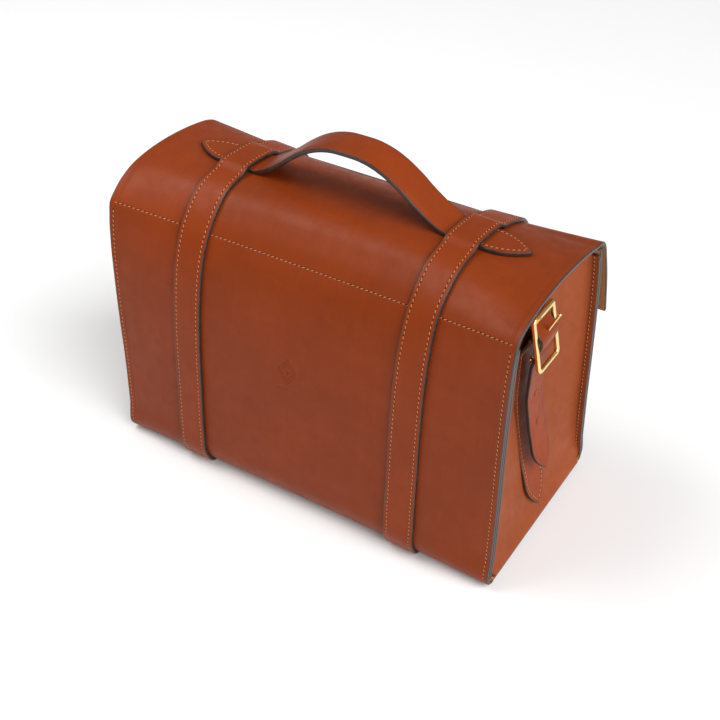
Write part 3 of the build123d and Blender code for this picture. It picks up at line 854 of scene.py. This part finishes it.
def make_strip(name, body, path, plane, centre, width, thickness, side=1, flip=1, tip=None,
               tip_length=24.0, sewn=False, creased=False, node=None, outward=None):
    """A flat strap along a path, with a pointed arch at its last end if tip is given."""
    half = width / 2
    share = None
    if tip is not None:
        far = np.concatenate([[0], np.cumsum(np.linalg.norm(np.diff(path, axis=0), axis=1))])
        share = arch_width(far[-1] - far, tip_length)
    grid, normal, outer = strip_grid(path, plane, centre, half, thickness, UNIT_COLUMNS, share, flip)
    edge = half - np.abs(np.broadcast_to(UNIT_COLUMNS * half, grid.shape[:2]))
    relief = 0.25 * bell(edge, 1.4)
    if sewn:
        relief = relief + 0.28 * bell(edge - 3.6, 0.75)
    if creased:
        relief = relief + 0.25 * bell(edge - 3.4, 0.5)
    obj = thick_sheet(name, at_side(grid, side), thickness, relief, None, outward, 0.9, (STRAP, STRAP, EDGE))
    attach(obj, body)
    if node:
        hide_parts(node)
    if sewn:
        keep = slice(4, None)
        inset = (half - 3.6) * (share if share is not None else np.ones(len(path)))
        if tip is not None:
            far_left = far[-1] - far
            inset = (half - 3.6) * arch_width(np.maximum(far_left - 3.6, 0), tip_length - 3)
            keep = (far_left > 4.2) & (far > 8)
        runs = []
        for sign in (-1, 1):
            across = centre + sign * inset
            if plane == "xz":
                line = np.stack([outer[:, 0], across, outer[:, 1]], -1)
            else:
                line = np.stack([across, outer[:, 0], outer[:, 1]], -1)
            runs.append((at_side(line[keep][None], side)[0] - normal[keep] * 0.1,
                         at_side(normal[keep][None], side)[0]))
        thread_obj = stitches(f"thread_{name}", runs)
        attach(thread_obj, body)
    return obj


# ---- buckle frames: x along the bars, z towards the roller, -y outwards, as in the CAD model
BUCKLE_H = 58.5
ROLLER_Z = (BUCKLE_H - 4.0) / 2
BAR_Z = ROLLER_Z - 24.0
END_TILT, END_X, END_Z = math.radians(10.5), 207.0, 227.0
CLOSE_TILT, CLOSE_Y, CLOSE_Z = math.radians(-5.65), -117.9, 150.0
BILLET_T, CHAPE_T, CHAPE_W = 3.5, 3.2, 36.0
BAR_EYE = 2.25 + CHAPE_T / 2
BILLET = [(3.0, 37.2), (7.6, 28.0), (-9.2, BAR_Z), (5.9, -ROLLER_Z)]


def end_point(y, z):
    s, c = math.sin(END_TILT), math.cos(END_TILT)
    return (-END_X + y * c + z * s, END_Z - y * s + z * c)


def close_point(y, z):
    s, c = math.sin(CLOSE_TILT), math.cos(CLOSE_TILT)
    return (CLOSE_Y + y * c + z * s, CLOSE_Z - y * s + z * c)


BILLET_HOLES = (160, 127)
HOLE_R = 2.3
HOLE_PROFILE = [(0.0, 0.12), (HOLE_R * 0.8, 0.1), (HOLE_R, 0.3), (HOLE_R + 0.6, 0.35), (HOLE_R + 1.3, 0.02),
                (HOLE_R + 0.6, -0.5), (0.0, -0.5)]


def make_hole_with_painted_shade(name, body, path, height, side):
    """Punched hole in a billet: a dark lens, painted shade standing in for the open hole, set in a slightly
    raised rim.
    """
    k = int(np.argmin(np.abs(path[:, 1] - height)))
    along = (path[k + 1] - path[k - 1]) / np.linalg.norm(path[k + 1] - path[k - 1])
    out = np.array([-along[1], along[0]])
    at = path[k] + out * BILLET_T / 2
    count = 20
    angle = 2 * np.pi * np.arange(count) / count

    def place(radius, rise, turn):
        run = at + out * rise + along * radius * math.sin(turn)
        return (run[0], END_Y + radius * math.cos(turn), run[1])

    points = [place(*HOLE_PROFILE[0], 0)]
    for radius, rise in HOLE_PROFILE[1:-1]:
        points += [place(radius, rise, turn) for turn in angle]
    points.append(place(*HOLE_PROFILE[-1], 0))
    last, rings = len(points) - 1, len(HOLE_PROFILE) - 3
    faces, kinds = [], []
    for a in range(count):
        b = (a + 1) % count
        faces.append((0, 1 + a, 1 + b))
        kinds.append(1)
        for ring in range(rings):
            low, high = 1 + ring * count, 1 + (ring + 1) * count
            faces.append((low + a, high + a, high + b, low + b))
            kinds.append(1 if ring == 0 else 0)
        faces.append((last, last - count + b, last - count + a))
        kinds.append(0)
    obj = add_mesh(name, at_side(points, side), faces, kinds, (STRAP, HOLE_SHADE))
    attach(obj, body)


def make_end(name, side):
    """Tab and billet at one end of the bag."""
    eye = end_point(BAR_EYE, BAR_Z)
    outward = (side, 0, 0)
    tab = [eye, (eye[0] + 1, eye[1] - 5), (-193.0, 208), (-192.5, 156),
           (-197.3, 120), (-203.3, 88), (-220.1, 24)]
    make_strip(f"end_tab_{name}", "bag", fillet_path(tab, [6, 14, 30, 60, 60]), "xz", END_Y,
               CHAPE_W, CHAPE_T, side, tip=26, tip_length=30.0, sewn=True, node=f"end_chape_{name}",
               outward=outward, flip=-1)
    billet = [(-195.2, 262), end_point(*BILLET[1]), end_point(*BILLET[2]), end_point(*BILLET[3]),
              (-204.5, 160), (-209.5, 127), (-215.3, 100), (-223.3, 74.4)]
    path = np.asarray(fillet_path(billet, [6, 12, 14, 60, 60, 60]))
    for number, z in enumerate(BILLET_HOLES, 1):
        make_hole_with_painted_shade(f"billet_hole_shade_{number}_{name}", f"end_buckle_{name}", path, z, side)
    make_strip(f"shoulder_billet_skin_{name}", f"end_buckle_{name}", path, "xz", END_Y,
               STRAP_W, BILLET_T, side, tip=64, tip_length=26.0, creased=True,
               node=f"shoulder_billet_{name}", outward=outward, flip=-1)


def make_shoulder_strap():
    out_x, in_x, over, floor = 195.2, 183.5, 292.0, BASE_Z + LEATHER + 3.4 + BILLET_T / 2 + 1.5
    path = [(-out_x, 262.4), (-out_x, over), (-in_x, over), (-in_x, floor), (in_x, floor), (in_x, over),
            (out_x, over), (out_x, 262.4)]
    path = fillet_path(path, [5, 5, 4, 4, 5, 5], 2.0)
    make_strip("shoulder_strap_skin", "bag", path, "xz", END_Y, STRAP_W, BILLET_T,
               creased=True, node="shoulder_strap")


HINGE_STRIP_KNOTS, HINGE_STRIP_X, HINGE_STRIP_T = (9.7, 10.9), 205, 2.5


def make_hinge_strip():
    """Reinforcing strip inside the hinge line, following the skin's inner face."""
    t = np.linspace(HINGE_STRIP_KNOTS[0], HINGE_STRIP_KNOTS[1], 24)
    x = np.linspace(-HINGE_STRIP_X, HINGE_STRIP_X, 60)
    tt, xx = np.meshgrid(t, x, indexing="ij")
    grid = on_skin(tt, xx, np.full(tt.shape, -(LEATHER + 0.1)))
    obj = thick_sheet("hinge_strip_skin", grid, HINGE_STRIP_T, None, None, (0, 1, 0), 0.6,
                      (BODY, FLESH, EDGE))
    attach(obj, "bag")
    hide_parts("hinge_strip")


def make_closure(name, side):
    path = [close_point(y, z) for y, z in BILLET + [(-1.3, -44.0), (-1.3, -54.0)]]
    make_strip(f"closure_billet_skin_{name}", f"closure_{name}",
               fillet_path(path, [6, 12, 12, 12]), "yz", side * STRAP_X, STRAP_W, BILLET_T, side=-1,
               tip=0, tip_length=15.0, creased=True, node=f"closure_billet_{name}",
               outward=(0, -1, 0), flip=-1)
    path = [(BAR_EYE, BAR_Z), (BAR_EYE, BAR_Z - 4), (9.2, -16), (9.2, -30), (4.4, -46), (-1.1, -79.5)]
    path = fillet_path([close_point(*p) for p in path], [6, 12, 12, 12])
    make_strip(f"closure_tab_skin_{name}", f"closure_{name}", path, "yz", side * STRAP_X,
               CHAPE_W, CHAPE_T, side=-1, tip=0, tip_length=18.0, sewn=True, node=f"closure_chape_{name}",
               outward=(0, -1, 0), flip=-1)


# ---------------------------------------------------------------- floor, light and camera
def make_floor():
    mesh = bpy.data.meshes.new("floor")
    size = 14.0
    corners = [(-size, -size, 0), (size, -size, 0), (size, size, 0), (-size, size, 0)]
    mesh.from_pydata(corners, [], [(0, 1, 2, 3)])
    obj = bpy.data.objects.new("floor", mesh)
    m = Nodes("floor_paint")
    place = m.coordinate("Object", (1, 1, 1))
    m.set(m.shader, "Base_Color", m.mix(m.noise(place, 3.0), (0.86, 0.86, 0.86), (0.88, 0.88, 0.88)))
    m.shader.inputs["Roughness"].default_value = 0.75
    m.shader.inputs["Specular IOR Level"].default_value = 0.2
    mesh.materials.append(m.material)
    bpy.context.scene.collection.objects.link(obj)


def area_light(name, at, target, size, power, colour=(1, 1, 1)):
    data = bpy.data.lights.new(name, "AREA")
    data.shape, data.size, data.size_y = "RECTANGLE", size[0], size[1]
    data.energy, data.color = power, colour
    obj = bpy.data.objects.new(name, data)
    obj.location = at
    obj.rotation_mode = "QUATERNION"
    obj.rotation_quaternion = (Vector(target) - Vector(at)).to_track_quat("-Z", "Y")
    bpy.context.scene.collection.objects.link(obj)


def make_lights():
    scene = bpy.context.scene
    scene.view_settings.view_transform = "Standard"
    scene.view_settings.look = "None"
    world = bpy.data.worlds.new("studio")
    world.use_nodes = True
    world.node_tree.nodes["Background"].inputs["Color"].default_value = (1, 1, 1, 1)
    world.node_tree.nodes["Background"].inputs["Strength"].default_value = 0.28
    scene.world = world
    data = bpy.data.lights.new("broad_daylight", "SUN")
    data.energy, data.angle = 3.0, math.radians(55)
    broad = bpy.data.objects.new("broad_daylight", data)
    broad.rotation_mode = "QUATERNION"
    broad.rotation_quaternion = Vector((0.78, -0.1, -0.62)).to_track_quat("-Z", "Y")
    scene.collection.objects.link(broad)
    area_light("overhead", (0.72, 0.38, 1.65), (0.0, 0.08, 0.29), (1.1, 0.9), 16)
    area_light("end_window", (-1.9, -0.5, 0.9), (-0.2, 0, 0.15), (1.2, 1.2), 6)
    area_light("back_right", (-1.1, 1.7, 0.9), (-0.1, 0.1, 0.15), (0.9, 0.9), 9)


def make_camera():
    """Where the photographer stood: the hinge side, above, with the left end turned to the lens."""
    azimuth, elevation, roll = math.radians(213.06), math.radians(38.87), math.radians(-0.915)
    data = bpy.data.cameras.new("camera")
    data.lens, data.sensor_width = 60.95, 36.0
    data.clip_start, data.clip_end = 0.01, 50.0
    obj = bpy.data.objects.new("camera", data)
    back = Vector((math.sin(azimuth) * math.cos(elevation), -math.cos(azimuth) * math.cos(elevation),
                   math.sin(elevation)))
    right = (-back).cross(Vector((0, 0, 1))).normalized()
    up = right.cross(-back)
    right, up = right * math.cos(roll) + up * math.sin(roll), up * math.cos(roll) - right * math.sin(roll)
    turn = Matrix((right, up, back)).transposed().to_4x4()
    obj.matrix_world = Matrix.Translation((-0.53787, 0.81806, 0.8993)) @ turn
    bpy.context.scene.collection.objects.link(obj)
    bpy.context.scene.camera = obj


make_camera()
make_lights()
make_floor()

long_skin = make_skin()
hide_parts("body_wrap", "lid")
bend_at_hinge(long_skin)
front = make_front()
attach(front, "bag")
for side_name, side_sign in SIDES.items():
    make_gusset(side_name, side_sign)
    for piece in make_back_strap(side_name, side_sign):
        bend_at_hinge(piece)
    make_front_strap(side_name, side_sign)
    make_seam_thread(side_name, side_sign)
    make_end(side_name, side_sign)
    make_closure(side_name, side_sign)
make_hinge_thread()
make_hinge_strip()
make_handle()
make_shoulder_strap()

for node_name, node in frame["nodes"].items():
    slot_name = next(s["material_slot"] for s in frame["record"]["subparts"] if s["node"] == node_name)
    chosen = {"brass": BRASS, "base_board": FLESH}.get(slot_name)
    if chosen is None:
        chosen = leather(f"cad_{node_name}", TAN, coordinate="Object") if not node.hide_render else BODY
    node.data.materials.clear()
    node.data.materials.append(chosen)
